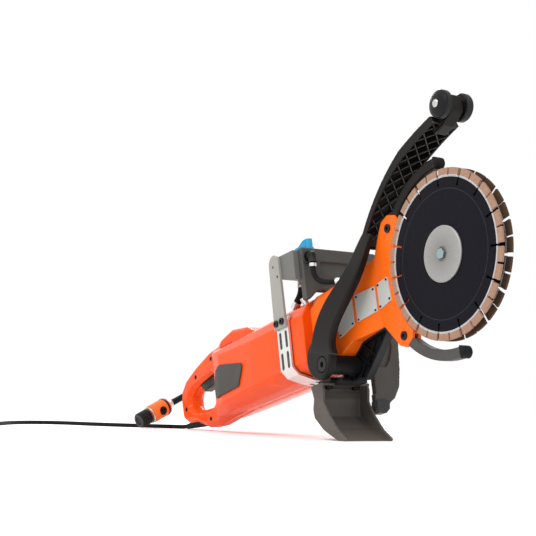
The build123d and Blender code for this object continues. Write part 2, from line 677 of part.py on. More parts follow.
with BuildPart() as blade_flanges:
    for sign in (1, -1):
        with BuildSketch(Plane(origin=at(0, 0), x_dir=FORWARD, z_dir=UPWARD)):
            with BuildLine():
                Polyline((9.6, -sign * 9.6), (9.6, -sign * 10.8), (11.5, -sign * 11.6), (FLANGE_R - 1.6, -sign * 11.6),
                         (FLANGE_R, -sign * 10.4), (FLANGE_R, -sign * 8.6), (4.05, -sign * 8.6), (4.05, -sign * 9.6),
                         close=True)
            make_face()
        revolve(axis=Axis(at(0, 0), (0, 1, 0)))
save(blade_flanges.part, "blade_flanges")
print("flanges", len(blade_flanges.part.solids()), blade_flanges.part.is_valid)

with BuildPart() as blade_bolts:
    for sign in (1, -1):
        with BuildSketch(side(sign * 9.65)):
            RegularPolygon(7.6, 6)
        extrude(amount=sign * 4.2)
        with BuildSketch(side(sign * 0.3)):
            Circle(3.95)
        extrude(amount=sign * 9.4)
save(blade_bolts.part, "blade_bolts")


with BuildPart() as belt:
    with BuildSketch(side(-BELT_HALF)):
        with Locations((0, 0), (DRIVE_U, DRIVE_V)):
            Circle(PULLEY_R + BELT_GAP + BELT_T)
        make_hull()
        with BuildSketch(mode=Mode.PRIVATE) as inside:
            with Locations((0, 0), (DRIVE_U, DRIVE_V)):
                Circle(PULLEY_R + BELT_GAP)
            make_hull()
        add(inside.sketch, mode=Mode.SUBTRACT)
    extrude(amount=2 * BELT_HALF)
save(belt.part, "drive_belt")

# ================================================================ bevel drive
CONE = (PINION_TEETH ** 2 + GEAR_TEETH ** 2) ** 0.5 * GEAR_MODULE / 2      # outer cone distance
INNER = 0.8                                                               # inner end, share of it
ADD, DED = 1.4, 2.3
TIP_HALF, ROOT_HALF = 0.55, 1.5
LIP_IN, LIP_OUT = 0.96, 1.03      # the root cones run a little past the teeth at both ends
gear_r, pinion_r = GEAR_TEETH * GEAR_MODULE / 2, PINION_TEETH * GEAR_MODULE / 2
apex = at(DRIVE_U, DRIVE_V)
AXIS_D, AXIS_U, AXIS_V = Vector(0, -1, 0), Vector(*FORWARD), Vector(*UPWARD)


def bevel_tooth(axis_dir, radial_dir, r, axial):
    """One straight bevel tooth, tapering towards the common apex."""
    tangent = axis_dir.cross(radial_dir).normalized()
    normal = (radial_dir * axial - axis_dir * r) * (1 / CONE)
    pitch_point = radial_dir * r + axis_dir * axial
    corners = [
        pitch_point + normal * ADD + tangent * TIP_HALF, pitch_point + normal * ADD - tangent * TIP_HALF,
        pitch_point - normal * (DED + 0.3) - tangent * ROOT_HALF, pitch_point - normal * (DED + 0.3) + tangent * ROOT_HALF,
    ]
    ends = []
    for scale in (1.0, INNER):
        ends.append(Wire.make_polygon([apex + c * scale for c in corners], close=True))
    return Solid.make_loft(ends, ruled=True)


def around(axis_dir, zero_dir, degrees):
    other = axis_dir.cross(zero_dir)
    return zero_dir * cos(radians(degrees)) + other * sin(radians(degrees))


def gear_profile(points, axis_dir, radial_dir):
    """Revolved blank about a line through the apex, from (radius, axial) points."""
    plane = Plane(origin=apex, x_dir=radial_dir, z_dir=radial_dir.cross(axis_dir))
    with BuildPart() as made:
        with BuildSketch(plane):
            with BuildLine():
                Polyline(*points, close=True)
            make_face()
        revolve(axis=Axis(apex, axis_dir))
    return made.part


def root_line(r, axial):
    """Root of the tooth space at the outer and inner ends, as (radius, axial)."""
    outer = (r - DED * axial / CONE, axial + DED * r / CONE)
    return outer, (outer[0] * INNER, outer[1] * INNER)


(go_r, go_a), (gi_r, gi_a) = root_line(gear_r, pinion_r)
bevel_gear = gear_profile([(7.03, 8.2), (12, 8.2), (gi_r * LIP_IN, gi_a * LIP_IN), (go_r * LIP_OUT, go_a * LIP_OUT),
                           (go_r * LIP_OUT, 16), (22, 20), (13, 22), (7.03, 22)], AXIS_D, AXIS_U)
gear_teeth = [bevel_tooth(AXIS_D, around(AXIS_D, AXIS_U, (i + 0.5) * 360 / GEAR_TEETH), gear_r, pinion_r)
              for i in range(GEAR_TEETH)]
bevel_gear = bevel_gear.fuse(*gear_teeth)
save(Part() + bevel_gear, "bevel_gear")

(po_r, po_a), (pi_r, pi_a) = root_line(pinion_r, gear_r)
REARWARD = AXIS_U * -1
bevel_pinion = gear_profile([(4.03, pi_a * LIP_IN), (pi_r * LIP_IN, pi_a * LIP_IN), (po_r * LIP_OUT, po_a * LIP_OUT),
                             (po_r * LIP_OUT, po_a + 4), (4.03, po_a + 4)], REARWARD, AXIS_D)
pinion_teeth = [bevel_tooth(REARWARD, around(REARWARD, AXIS_D, i * 360 / PINION_TEETH), pinion_r, gear_r)
                for i in range(PINION_TEETH)]
bevel_pinion = bevel_pinion.fuse(*pinion_teeth)
save(Part() + bevel_pinion, "bevel_pinion")
print("gears", bevel_gear.is_valid, bevel_pinion.is_valid, bevel_gear.volume, bevel_pinion.volume,
      (bevel_gear & bevel_pinion))

with BuildPart() as output_shaft:                                 # with the belt's drive pulley
    add(disc(DRIVE_U, DRIVE_V, 7.0, -27.4, 27.4))
    add(disc(DRIVE_U, DRIVE_V, PULLEY_R, -BELT_HALF - 0.1, BELT_HALF + 0.1))
save(output_shaft.part, "output_shaft")


# ================================================================ motor


def axial(u, radius, length, bore=0.0):
    """Round piece on the motor's axis, from u rearward."""
    with BuildPart() as made:
        with BuildSketch(cross(u)):
            with Locations((0, DRIVE_V)):
                Circle(radius)
                if bore:
                    Circle(bore, mode=Mode.SUBTRACT)
        extrude(amount=length)
    return made.part


inside_body = wide_form(WALL + 0.2)

with BuildPart() as rotor:                                        # shaft, laminated core, commutator
    add(axial(-267, 4.0, 281))
    add(axial(-392, 27.5, 76))
    add(axial(-500, 14, 22))
    with BuildSketch(cross(-392)):                                # winding slots
        with Locations((0, DRIVE_V)):
            with PolarLocations(26, 12):
                Rectangle(6, 2.4)
    extrude(amount=76, mode=Mode.SUBTRACT)
save(rotor.part, "rotor")

with BuildPart() as cooling_fan:
    add(axial(-346, 10, 12, 4.05))
    add(axial(-356, 46, 2, 4.05))
    with BuildSketch(cross(-346)):
        with Locations((0, DRIVE_V)):
            with PolarLocations(27, 12):
                Rectangle(37, 2.2)
    extrude(amount=10)
save(cooling_fan.part, "cooling_fan")

with BuildPart() as motor_stator:
    with BuildSketch(cross(-400)):                                # four ribs that seat it in the housing
        with Locations((0, DRIVE_V)):
            Rectangle(130, 14)
            Rectangle(14, 180)
    extrude(amount=60)
    add(inside_body, mode=Mode.INTERSECT)
    add(axial(-392, 43.5, 76))
    add(axial(-390, 28.5, 80), mode=Mode.SUBTRACT)
save(motor_stator.part, "motor_stator")

with BuildPart() as gear_case:                                    # bulkhead with the front bearing's seat
    add(axial(-273.2, 36.6, 18))
    add(axial(-276.4, 45, 4))
    add(axial(-270, 13.0, 9.4), mode=Mode.SUBTRACT)
    add(axial(-279, 11.0, 8.0), mode=Mode.SUBTRACT)
    add(axial(-280, 5.5, 20), mode=Mode.SUBTRACT)
save(gear_case.part, "gear_case")

with BuildPart() as rear_bracket:                                 # rear bearing's seat and brush holders
    with BuildSketch(cross(-536)):
        with Locations((0, DRIVE_V)):
            Rectangle(130, 30)
    extrude(amount=6)
    add(inside_body, mode=Mode.INTERSECT)
    add(axial(-536, 15, 14))
    for sign in (1, -1):
        holder = slab([(-538, -44), (-503, -44), (-503, -28), (-538, -28)], 17, 40)
        well = slab([(-516, -40.2), (-506, -40.2), (-506, -31.8), (-516, -31.8)], 15, 37)
        holder = holder - well
        add(holder if sign > 0 else mirror(holder, about=Plane.XZ))
    add(axial(-539, 11.0, 8.0), mode=Mode.SUBTRACT)
    add(axial(-530, 4.6, 22), mode=Mode.SUBTRACT)
save(rear_bracket.part, "rear_bracket")

with BuildPart() as bearings:                                     # blade spindle, output shaft and rotor
    for sign in (1, -1):
        add(disc(0, 0, 16.95, *sorted((sign * 3.1, sign * 5.5))) - disc(0, 0, 13.06, -9, 9))
        add(disc(DRIVE_U, DRIVE_V, 14.95, *sorted((sign * 22.6, sign * 27.5)))
            - disc(DRIVE_U, DRIVE_V, 7.06, -40, 40))
    for u in (-279.3, -539.3):
        add(axial(u, 10.95, 7.4, 4.06))
save(bearings.part, "bearings")

with BuildPart() as carbon_brushes:
    for d_low, d_high in ((14.4, 33), (-33, -14.4)):
        add(slab([(-515.7, -40), (-506.3, -40), (-506.3, -32), (-515.7, -32)], d_low, d_high))
save(carbon_brushes.part, "carbon_brushes")

# ================================================================ controls in the rear handle
TRIGGER = [(-633, 7), (-641, 8), (-688, -9), (-700, -18), (-701, -24), (-690, -33), (-668, -30.5), (-648, -27),
           (-641, -20), (-633, -4)]

with BuildPart() as trigger:
    add(slab(TRIGGER, -9, 9))
    chamfer(trigger.edges().filter_by(lambda e: abs(abs(e.center().Y) - 9) < 0.01
                                      and e.center().Z < at(-690, -20).Z), length=2)
    add(disc(TRIGGER_U, TRIGGER_V, 2.55, -12.6, 12.6))
save(trigger.part, "trigger")
print("trigger", trigger.part.is_valid, len(trigger.part.solids()))

with BuildPart() as lockout_button:
    add(disc(*LOCK_PLACE, 6.0, -24, -13.4))
    chamfer(lockout_button.faces().sort_by(Axis.Y)[-1].edges(), length=1.5)
save(lockout_button.part, "lockout_button")

with BuildPart() as switch_module:
    add(slab([(-628, 8), (-606, 8), (-606, -22), (-628, -22)], -9, 9, 2))
save(switch_module.part, "switch_module")

with BuildPart() as housing_screws:
    for u, v in HANDLE_SCREWS:
        add(disc(u, v, 3.6, 14.7, 17.6))
        add(disc(u, v, 1.6, -11, 15))
        with BuildSketch(side(16)):
            with Locations((u, v)):
                RegularPolygon(2.2, 6)
        extrude(amount=3, mode=Mode.SUBTRACT)
save(housing_screws.part, "housing_screws")

# ================================================================ band bracket, side plates, front grip
BAND_FRONT, BAND_REAR = -306.0, -338.0
BAND_OUT, BAND_IN = 5.1, 1.5                   # band's faces off the housing, over a rubber pad
PAD_OUT, PAD_IN = 1.4, 0.3
PLATE_D = 60.3 + 5.0
PLATE_BOLTS = [(-330, -9), (-314, -9)]
GRIP = [(-271.2, 91), (-322, 94), (-316, 58), (-271.2, 45)]

def band_section(outward, inward, top):
    """Section of a strap round the housing's flanks and belly, cut off at a height."""
    with BuildSketch(cross(BAND_FRONT)) as strap:
        for reach, mode in ((outward, Mode.ADD), (inward, Mode.SUBTRACT)):
            with BuildLine(mode=Mode.PRIVATE) as body_line:
                Polyline(*mirrored_across(BODY_CROSS), close=True)
            add(offset(make_face(body_line.line, mode=Mode.PRIVATE), amount=reach, kind=Kind.INTERSECTION,
                       mode=Mode.PRIVATE), mode=mode)
        with Locations((0, top + 60)):
            Rectangle(160, 120, mode=Mode.SUBTRACT)
    return strap.sketch


with BuildPart() as band_pad:
    extrude(band_section(PAD_OUT, PAD_IN, -20), amount=BAND_FRONT - BAND_REAR)
save(band_pad.part, "band_pad")

with BuildPart() as band_bracket:
    extrude(band_section(BAND_OUT, BAND_IN, -1), amount=BAND_FRONT - BAND_REAR)
    with BuildSketch(side(0)):                                    # slots in both flanks
        with Locations((-330, -36), (-314, -36), (-330, -68), (-314, -68)):
            SlotCenterToCenter(20, 6.5, rotation=90)
    extrude(amount=90, both=True, mode=Mode.SUBTRACT)
    with BuildSketch(deck(-130)):                                 # slots underneath
        with Locations((-330, 0), (-314, 0)):
            SlotCenterToCenter(34, 6.5, rotation=90)
    extrude(amount=30, mode=Mode.SUBTRACT)
    with BuildSketch(side(0)):
        with Locations(*PLATE_BOLTS):
            Circle(3.1)
    extrude(amount=90, both=True, mode=Mode.SUBTRACT)
save(band_bracket.part, "band_bracket")
print("band", len(band_bracket.part.solids()), band_bracket.part.is_valid, band_bracket.part.bounding_box())

for name, d_low in (("side_plate_right", PLATE_D), ("side_plate_left", -PLATE_D - 4)):
    with BuildPart() as plate:
        with BuildSketch(side(d_low)):
            with BuildLine():
                Polyline((-338, -18), (-336, 84), (-308, 84), (-306, -18), close=True)
            make_face()
            with Locations((-322, 84)):
                Circle(14)
            with Locations(*PLATE_BOLTS):
                Circle(3.1, mode=Mode.SUBTRACT)
            with Locations((-325, 80), (-315, 62)):
                Circle(2.4, mode=Mode.SUBTRACT)
        extrude(amount=4)
    save(plate.part, name)

with BuildPart() as bracket_bolts:
    for u, v in PLATE_BOLTS:
        for sign in (1, -1):
            outer = sign * (PLATE_D + 4)
            add(disc(u, v, 2.9, *sorted((sign * 61.9, outer))))
            add(disc(u, v, 5.2, *sorted((outer + sign * 0.1, outer + sign * 3))))
            with BuildSketch(side(outer + sign * 3)):
                with Locations((u, v)):
                    RegularPolygon(2.6, 6)
            extrude(amount=-sign * 1.8, mode=Mode.SUBTRACT)
    for d in (-24, 24):                                           # these two hold the scoop foot
        with BuildSketch(deck(-121)):
            with Locations((-275, -d)):
                RegularPolygon(6, 6)
        extrude(amount=3.8)
        with BuildSketch(deck(-118)):
            with Locations((-275, -d)):
                Circle(3.0)
        extrude(amount=11.2)
save(bracket_bolts.part, "bracket_bolts")

with BuildPart() as front_grip:
    add(slab(GRIP, -PLATE_D + 0.2, PLATE_D - 0.2))
    rear_edges = front_grip.edges().filter_by(Axis.Y).group_by(Axis.X)[:2]
    fillet(rear_edges[0] + rear_edges[1], radius=5)
save(front_grip.part, "front_grip")

# ================================================================ water fittings
KNOB_U, KNOB_D = -291.0, 30.0
KNOB_V = 92.2
HOSE_TOP = (-309.0, 50.0, 30.0)

with BuildPart() as valve_body:
    with BuildSketch(deck(KNOB_V - 3)):
        with Locations((KNOB_U, -KNOB_D)):
            Circle(11)
    extrude(amount=5.6)
    add(front_grip.part, mode=Mode.SUBTRACT)
save(valve_body.part, "valve_body")
print("valve", len(valve_body.part.solids()))

with BuildPart() as valve_knob:
    with BuildSketch(deck(KNOB_V + 3)):
        with Locations((KNOB_U, -KNOB_D)):
            Circle(15)
    extrude(amount=7)
    with BuildSketch(deck(KNOB_V + 3)):
        with Locations((KNOB_U, -KNOB_D)):
            SlotCenterToCenter(26, 12)
    extrude(amount=18)
    with BuildSketch(side(0)):                                    # top slopes down to the rear
        with BuildLine():
            Polyline((KNOB_U + 24, KNOB_V + 22), (KNOB_U - 24, KNOB_V + 22), (KNOB_U - 24, KNOB_V + 8),
                     (KNOB_U + 6, KNOB_V + 21), close=True)
        make_face()
    extrude(amount=-60, both=True, mode=Mode.SUBTRACT)
save(valve_knob.part, "valve_knob")
print("knob", len(valve_knob.part.solids()), valve_knob.part.is_valid)

ELBOW_U, ELBOW_V, ELBOW_D = -246.0, 76.0, 48.0
with BuildPart() as water_elbow:
    with BuildSketch(cross(ELBOW_U)):
        with Locations((ELBOW_D, ELBOW_V)):
            Circle(6.5)
    extrude(amount=13.8)
    with BuildSketch(cross(ELBOW_U - 8)):
        with Locations((ELBOW_D, ELBOW_V)):
            Circle(9.5)
    extrude(amount=5.8)
    with BuildSketch(deck(ELBOW_V - 11)):
        with Locations((ELBOW_U, -ELBOW_D)):
            Circle(6.5)
    extrude(amount=11)
    with Locations(at(ELBOW_U, ELBOW_V, ELBOW_D)):
        Sphere(6.5)
save(water_elbow.part, "water_elbow")


def cord_radii(points):
    """Radius for each corner: the arcs take up nearly the whole of the shorter run."""
    radii = []
    for a, b, c in zip(points, points[1:], points[2:]):
        turn = (b - a).get_angle(c - b)
        radii.append(0.45 * min((b - a).length, (c - b).length) / tan(radians(turn / 2)))
    return radii


def cord(points, diameter, name):
    """Flexible line as a plain round tube along hand-placed points."""
    radii = cord_radii(points)
    with BuildPart() as made:
        with BuildLine() as route:
            FilletPolyline(*points, radius=radii)
        with BuildSketch(Plane(origin=route.line @ 0, z_dir=route.line % 0)):
            Circle(diameter / 2)
        sweep(path=route.line)
    save(made.part, name)
    length = route.wires()[0].length
    share = made.part.volume / (pi * diameter ** 2 / 4 * length)
    print(f"{name}: length {length:.0f} mm, radii {[round(r) for r in radii]}, volume share {share:.3f}")
    return made.part


def bead(start, direction, radius, length):
    """Round piece from a point along a direction."""
    with BuildPart() as made:
        with BuildSketch(Plane(origin=start, z_dir=direction)):
            Circle(radius)
        extrude(amount=length)
    return made.part


ARM_HOSE = [at(ELBOW_U, ELBOW_V - 11.6, ELBOW_D), at(-248, 51, 48.5), at(-247, 39, 44), at(-238, 31.5, 35.5),
            at(-226, 30, 25)]
arm_hose = cord(ARM_HOSE, 8.0, "arm_water_hose")
BODY_HOSE = [at(*HOSE_TOP), at(-309.8, 42, 30), at(-315, 34, 30), at(-324.5, 27.5, 30)]
body_hose = cord(BODY_HOSE, HOSE_D, "body_water_hose")

with BuildPart() as hose_clamps:
    add(bead(ARM_HOSE[0] + (ARM_HOSE[1] - ARM_HOSE[0]).normalized() * 1, ARM_HOSE[1] - ARM_HOSE[0], 5.6, 5)
        - bead(ARM_HOSE[0], ARM_HOSE[1] - ARM_HOSE[0], 4.15, 9))
    add(bead(BODY_HOSE[0] + (BODY_HOSE[1] - BODY_HOSE[0]).normalized() * 0.6, BODY_HOSE[1] - BODY_HOSE[0], 7.4, 4)
        - bead(BODY_HOSE[0], BODY_HOSE[1] - BODY_HOSE[0], 6.2, 9))
save(hose_clamps.part, "hose_clamps")

# ---------------------------------------------------------------- water inlet behind the handle
NUT = Vector(-584, -76, 19.4)                                     # middle of the coupling's nut
INLET = Vector(-0.189, 0.891, 0.413).normalized()                 # along the coupling towards the hose


def coupling_piece(outline):
    """Turned piece on the coupling's axis, from (distance along, radius) points."""
    plane = Plane(origin=NUT, x_dir=INLET, z_dir=INLET.cross(Vector(0, 0, 1)))
    with BuildPart() as made:
        with BuildSketch(plane):
            with BuildLine():
                Polyline(*[(s, -r) for s, r in outline], close=True)
            make_face()
        revolve(axis=Axis(NUT, INLET))
    return made.part


coupling_nut = coupling_piece([(-15, 8), (-15, 12.5), (-13, 14), (7, 14), (9, 12.8), (9, 8)])
with BuildPart() as nut:
    add(coupling_nut)
    with BuildSketch(Plane(origin=NUT - INLET * 12, x_dir=(1, 0.212, 0), z_dir=INLET)):
        with PolarLocations(14.6, 18):
            Circle(1.5)
    extrude(amount=18, mode=Mode.SUBTRACT)
save(nut.part, "coupling_nut")
print("nut", nut.part.bounding_box(), nut.part.is_valid)

coupling_body = coupling_piece([(-13, 0), (-13, 7.6), (9.5, 7.6), (9.5, 12.6), (14, 12.6), (14, 15), (16, 16.5),
                                (46, 16.5), (48, 15), (54, 15), (54, 6.3), (53.8, 0)])
save(coupling_body, "coupling_body")
BUTTON_OUT = Vector(1, 0.212, 0).normalized()
coupling_collar = coupling_piece([(54.2, 6.3), (54.2, 13), (60, 11), (60, 6.3)])

REAR_HOSE = [NUT + INLET * 54.1, NUT + INLET * 82, Vector(-604, 24, 66), Vector(-595, 46, 77.5), Vector(-571, 60, 83),
             Vector(-538, 61, 87), Vector(-502, 56, 91.5), Vector(-466, 50, 97), at(-634, -10, -45),
             at(-613, -10, -45)]
cord(REAR_HOSE, HOSE_D, "rear_hose")

with BuildPart() as hose_fittings:                                # barbs and the coupling's collar
    add(bead(ARM_HOSE[-1], ARM_HOSE[-1] - ARM_HOSE[-2], 5.2, 16) - arm_whole.part)
    add(bead(BODY_HOSE[-1], BODY_HOSE[-1] - BODY_HOSE[-2], 6.6, 14) - outer_body)
    add(bead(at(*HOSE_TOP) + Vector(*UPWARD) * 0.8, Vector(*UPWARD), 6.6, 14) - front_grip.part)
    add(bead(at(-612.8, -10, -45), Vector(*FORWARD), 7.2, 22) - outer_body)
    add(coupling_collar)
    add(bead(at(-300, 14, 30), at(0, 0.86, 0.5) - at(0, 0), 5.0, 14) - outer_body)                # oil plug
save(hose_fittings.part, "hose_fittings")
print("fittings", [s.volume for s in hose_fittings.part.solids()])

# ---------------------------------------------------------------- power lead
BOOT_ROOT, BOOT_END = at(-700, -84.9), at(-778, -79.05)
along_boot = (BOOT_END - BOOT_ROOT).normalized()
with BuildPart() as cable_boot:
    with BuildSketch(Plane(origin=BOOT_ROOT, z_dir=along_boot)):
        Circle(9.0)
    with BuildSketch(Plane(origin=BOOT_END, z_dir=along_boot)):
        Circle(4.95)
    loft()
    add(bead(BOOT_END - along_boot * 12, along_boot, CORD_D / 2 + 0.1, 20), mode=Mode.SUBTRACT)
    add(outer_body, mode=Mode.SUBTRACT)
cable_boot = Part() + cable_boot.part.solids().sort_by(SortBy.VOLUME)[-1]
save(cable_boot, "cable_boot")
print("boot", cable_boot.bounding_box(), cable_boot.is_valid)

FLOOR_Z = CORD_D / 2
LEAD = [(-592, -13), (-626, -37), (-664, -67), (-706, -93), (-752, -112), (-800, -125), (-842, -144), (-865, -176),
        (-860, -214), (-834, -245), (-798, -270), (-760, -294), (-724, -320)]
PLUG_AT, PLUG_Z = Vector(-659, -376, 14), Vector(0.76, -0.65, 0).normalized()
POWER = [BOOT_END - along_boot * 11.8, BOOT_END + along_boot * 9 + Vector(0, 0, 0.05)]
POWER += [Vector(x, y, FLOOR_Z) for x, y in LEAD]
POWER += [Vector(-704, -338, 5.0), Vector(-683, -355.5, 11.8), PLUG_AT - PLUG_Z * 0.4]
cord(POWER, CORD_D, "power_cord")

with BuildPart() as plug:
    with BuildSketch(Plane(origin=PLUG_AT, x_dir=(0, 0, 1), z_dir=PLUG_Z)):
        Circle(6.5)
    with BuildSketch(Plane(origin=PLUG_AT + PLUG_Z * 22, x_dir=(0, 0, 1), z_dir=PLUG_Z)):
        Circle(12.5)
    loft()
    add(bead(PLUG_AT + PLUG_Z * 22, PLUG_Z, 13.9, 26))
    for angle in (90, 210, 330):
        offset_dir = Vector(0, 0, cos(radians(angle))) + PLUG_Z.cross(Vector(0, 0, 1)) * sin(radians(angle))
        add(bead(PLUG_AT + PLUG_Z * 47 + offset_dir * 6.5, PLUG_Z, 2.2, 18))
save(plug.part, "plug")
print("plug", plug.part.bounding_box(), len(plug.part.solids()))
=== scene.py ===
"""Studio picture of an electric twin-blade cut-and-break saw on its scoop foot.

Positions are in metres in the row's frame.  Places on the machine are given in its own
coordinates, in millimetres: u forward along the body, v up across it, d out to the right.
"""
from math import cos, pi, radians, sin

import bmesh
import bpy
from mathutils import Matrix, Vector


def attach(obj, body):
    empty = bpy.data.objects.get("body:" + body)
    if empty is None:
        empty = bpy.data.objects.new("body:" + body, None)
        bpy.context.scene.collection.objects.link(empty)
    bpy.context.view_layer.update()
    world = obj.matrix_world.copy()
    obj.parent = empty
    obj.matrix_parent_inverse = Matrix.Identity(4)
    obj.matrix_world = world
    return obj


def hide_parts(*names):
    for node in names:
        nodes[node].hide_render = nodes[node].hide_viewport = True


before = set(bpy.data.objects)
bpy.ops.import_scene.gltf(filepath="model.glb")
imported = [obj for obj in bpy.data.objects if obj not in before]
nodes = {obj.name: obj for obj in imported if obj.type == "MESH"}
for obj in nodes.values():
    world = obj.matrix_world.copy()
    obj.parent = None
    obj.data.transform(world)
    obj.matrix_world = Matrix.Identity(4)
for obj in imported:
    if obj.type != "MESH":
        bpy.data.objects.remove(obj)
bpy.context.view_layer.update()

# ---------------------------------------------------------------- the machine's own coordinates
PITCH = radians(12.6)             # the machine stands nose-up
FOOT_U, FOOT_V = -236.5, -205.2   # the row's origin, in machine coordinates
FORWARD = Vector((cos(PITCH), 0, sin(PITCH)))
UPWARD = Vector((-sin(PITCH), 0, cos(PITCH)))
RIGHT = Vector((0, -1, 0))
AXLE = -(FORWARD * FOOT_U + UPWARD * FOOT_V) / 1000


def at(u, v, d=0.0):
    """Place in the row's frame, in metres, of a point given in machine coordinates."""
    return AXLE + (FORWARD * u + UPWARD * v + RIGHT * d) / 1000


def in_metres(x, y, z):
    """Point in the row's frame, from millimetres."""
    return Vector((x / 1000, y / 1000, z / 1000))


# ================================================================ materials
ROUGHNESS_SPREAD = 0.07           # mottling of the roughness, either way
SMOOTHEST = 0.03
COAT_ROUGHNESS = 0.15
GRAIN_DEPTH = 0.0006
MOTTLE = 18.0                     # scale of the broad mottling
TINT_FROM, TINT_TO = 0.35, 0.65   # stretch of the noise over which the colour changes
EDGE_FROM, EDGE_TO = 0.53, 0.60   # pointiness where wear starts, and where it is strongest
STRONGEST_WEAR = 0.7


def noise(tree, place, scale, detail):
    """Noise that stays put on the object."""
    made = tree.nodes.new("ShaderNodeTexNoise")
    made.inputs["Scale"].default_value = scale
    made.inputs["Detail"].default_value = detail
    tree.links.new(place.outputs["Object"], made.inputs["Vector"])
    return made.outputs["Fac"]


def remapped(tree, value, low, high, start=0.0, end=1.0):
    """Value taken from the stretch start to end onto the stretch low to high."""
    made = tree.nodes.new("ShaderNodeMapRange")
    made.inputs["From Min"].default_value = start
    made.inputs["From Max"].default_value = end
    made.inputs["To Min"].default_value = low
    made.inputs["To Max"].default_value = high
    tree.links.new(value, made.inputs["Value"])
    return made.outputs["Result"]


def worn_edges(tree, colour, wear):
    """Colour that gives way to the worn colour along sharp edges."""
    geometry = tree.nodes.new("ShaderNodeNewGeometry")
    edge = remapped(tree, geometry.outputs["Pointiness"], 0.0, STRONGEST_WEAR, EDGE_FROM, EDGE_TO)
    worn = tree.nodes.new("ShaderNodeMix")
    worn.data_type = "RGBA"
    worn.inputs["B"].default_value = list(wear) + [1]
    tree.links.new(edge, worn.inputs["Factor"])
    tree.links.new(colour, worn.inputs["A"])
    return worn.outputs["Result"]


def new_material(name, colour, roughness, metallic=0.0, coat=0.0, shine=0.25, spread=0.06, grain=900.0,
                 bump=0.02, wear=None):
    """Principled material with mottled colour and roughness, a fine grain in relief and worn edges."""
    made = bpy.data.materials.new(name)
    made.use_nodes = True
    tree = made.node_tree
    shader = tree.nodes["Principled BSDF"]
    shader.inputs["Metallic"].default_value = metallic
    shader.inputs["Coat Weight"].default_value = coat
    shader.inputs["Coat Roughness"].default_value = COAT_ROUGHNESS
    shader.inputs["Specular IOR Level"].default_value = shine
    place = tree.nodes.new("ShaderNodeTexCoord")
    broad = noise(tree, place, MOTTLE, 4)
    tint = tree.nodes.new("ShaderNodeValToRGB")
    darker, lighter = tint.color_ramp.elements
    darker.position = TINT_FROM
    lighter.position = TINT_TO
    darker.color = [c * (1 - spread) for c in colour] + [1]
    lighter.color = [min(1.0, c * (1 + spread)) for c in colour] + [1]
    tree.links.new(broad, tint.inputs["Fac"])
    shown = tint.outputs["Color"]
    if wear:
        shown = worn_edges(tree, shown, wear)
    tree.links.new(shown, shader.inputs["Base Color"])
    polish = remapped(tree, broad, max(SMOOTHEST, roughness - ROUGHNESS_SPREAD),
                      min(1.0, roughness + ROUGHNESS_SPREAD))
    tree.links.new(polish, shader.inputs["Roughness"])
    relief = tree.nodes.new("ShaderNodeBump")
    relief.inputs["Strength"].default_value = bump
    relief.inputs["Distance"].default_value = GRAIN_DEPTH
    tree.links.new(noise(tree, place, grain, 2), relief.inputs["Height"])
    tree.links.new(relief.outputs["Normal"], shader.inputs["Normal"])
    return made


# ---------------------------------------------------------------- paint, mouldings and rubber
orange_shell = new_material("orange_shell", (0.80, 0.070, 0.003), 0.26, coat=0.1, shine=0.14, spread=0.04,
                            wear=(0.92, 0.2, 0.05))
orange_metal = new_material("orange_metal", (0.82, 0.125, 0.008), 0.3, coat=0.08, shine=0.12, spread=0.04,
                            wear=(0.92, 0.25, 0.08))
dark_cover = new_material("dark_cover", (0.066, 0.063, 0.056), 0.6, shine=0.15, bump=0.15, spread=0.08)
grey_moulding = new_material("grey_moulding", (0.062, 0.060, 0.054), 0.5, bump=0.2, spread=0.1,
                             wear=(0.17, 0.17, 0.16))
scoop_moulding = new_material("scoop_moulding", (0.088, 0.076, 0.066), 0.5, bump=0.2, spread=0.12,
                              wear=(0.2, 0.19, 0.17))
limb_moulding = new_material("limb_moulding", (0.010, 0.0075, 0.007), 0.42, shine=0.14, bump=0.2, spread=0.1,
                             wear=(0.20, 0.19, 0.18))
black_rubber = new_material("black_rubber", (0.009, 0.009, 0.010), 0.55, shine=0.1, bump=0.12, spread=0.15)
black_plastic = new_material("black_plastic", (0.008, 0.008, 0.009), 0.36, shine=0.14, bump=0.12,
                             spread=0.12, wear=(0.06, 0.06, 0.06))
blue_knob = new_material("blue_knob", (0.001, 0.15, 0.36), 0.3, coat=0.05, shine=0.1, wear=(0.05, 0.4, 0.65))

# ---------------------------------------------------------------- metals and carbon
cast_bracket = new_material("cast_bracket", (0.006, 0.006, 0.007), 0.45, shine=0.1, bump=0.25, spread=0.15,
                            wear=(0.035, 0.035, 0.037))
bare_aluminium = new_material("bare_aluminium", (0.33, 0.315, 0.275), 0.5, metallic=0.3, shine=0.1,
                              grain=1500, bump=0.15, spread=0.1, wear=(0.6, 0.6, 0.57))
plate_grey = new_material("plate_grey", (0.165, 0.155, 0.132), 0.5, metallic=0.2, shine=0.08,
                          grain=1500, bump=0.15, spread=0.1, wear=(0.4, 0.39, 0.36))
bright_aluminium = new_material("bright_aluminium", (0.52, 0.52, 0.50), 0.32, metallic=0.85,
                                grain=1500, bump=0.15, spread=0.1, wear=(0.85, 0.85, 0.83))
matte_flange = new_material("matte_flange", (0.23, 0.225, 0.21), 0.55, metallic=0.3, shine=0.1,
                            grain=1800, bump=0.08, spread=0.05, wear=(0.5, 0.5, 0.48))
zinc = new_material("zinc", (0.36, 0.46, 0.50), 0.25, metallic=0.9, bump=0.05, spread=0.08)
polished_steel = new_material("polished_steel", (0.6, 0.6, 0.6), 0.25, metallic=1.0, bump=0.05, spread=0.05)
dark_steel = new_material("dark_steel", (0.014, 0.013, 0.014), 0.36, metallic=0.4, shine=0.14,
                          bump=0.06, spread=0.1, wear=(0.03, 0.03, 0.032))
blued_steel = new_material("blued_steel", (0.010, 0.018, 0.055), 0.35, metallic=0.4, shine=0.2)
